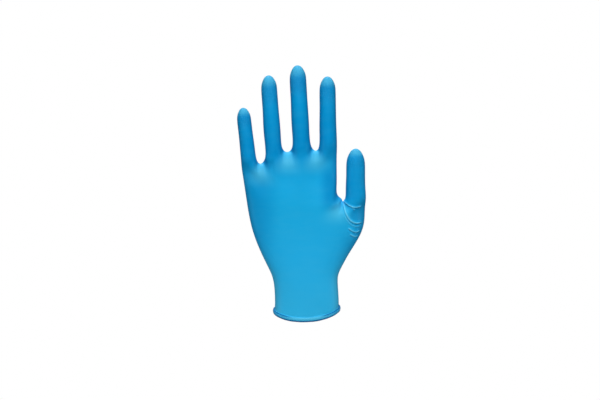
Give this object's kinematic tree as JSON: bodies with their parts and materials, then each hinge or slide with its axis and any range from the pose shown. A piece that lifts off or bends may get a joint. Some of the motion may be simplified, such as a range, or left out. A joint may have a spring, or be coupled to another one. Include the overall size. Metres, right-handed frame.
{
  "type": "nitrile exam glove",
  "caption": "Thin dipped disposable glove with five digits, smooth film and a rolled bead at the cuff, filled out as when worn.",
  "frame": {"origin": "centre of the wrist opening, level with the lowest point of the bead", "axes": "+Z towards the fingertips, +X towards the thumb, +Y towards the palm side, -Y out of the back of the hand"},
  "size_m": [0.1208, 0.0456, 0.2401],
  "materials": {
    "nitrile": "satin"
  },
  "bodies": {
    "root": {"glove": "nitrile"}
  },
  "joints": []
}
